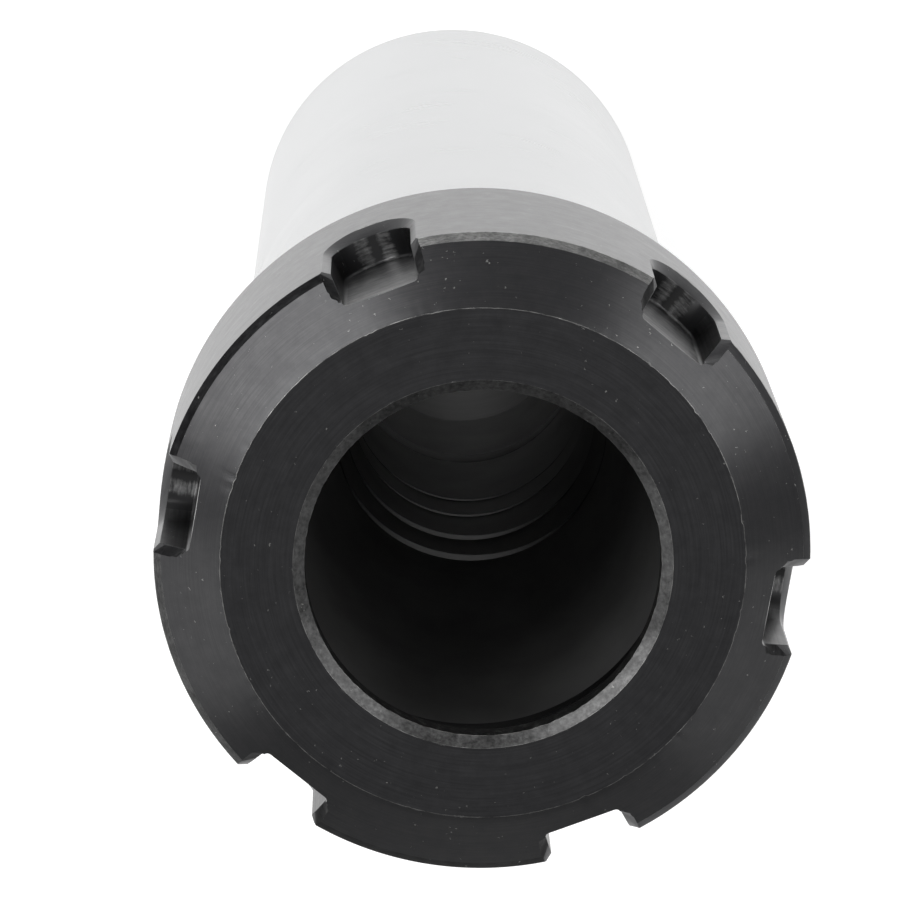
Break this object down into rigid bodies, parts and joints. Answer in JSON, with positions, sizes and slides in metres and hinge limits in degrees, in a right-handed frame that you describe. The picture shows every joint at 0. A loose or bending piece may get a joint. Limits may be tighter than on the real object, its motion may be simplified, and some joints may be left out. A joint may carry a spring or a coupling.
{
  "type": "collet chuck holder",
  "caption": "Straight-shank holder for a spring collet: a ground round shank with a taper seat and through bore, and a dark conical-front clamping nut with spanner slots.",
  "frame": {"origin": "centre of the shank's rear face, on which the chuck stands", "axes": "+Z along the chuck's axis towards the nut's front face; +X through the middle of one spanner slot"},
  "size_m": [0.05, 0.05, 0.146],
  "materials": {
    "ground_steel": "hardened alloy steel, cylindrically ground bright on the shank and in the taper",
    "black_oxide_steel": "turned and milled alloy steel, black oxide with fine facing marks and light wear"
  },
  "bodies": {
    "holder": {"holder_body": "ground_steel"},
    "nut": {"clamping_nut": "black_oxide_steel"}
  },
  "joints": [
    {"name": "nut_turn", "type": "hinge", "parent": "holder", "child": "nut", "pos_m": [0, 0, 0.135], "axis": [0, 0, 1], "range_deg": [-120, 2460]}
  ]
}
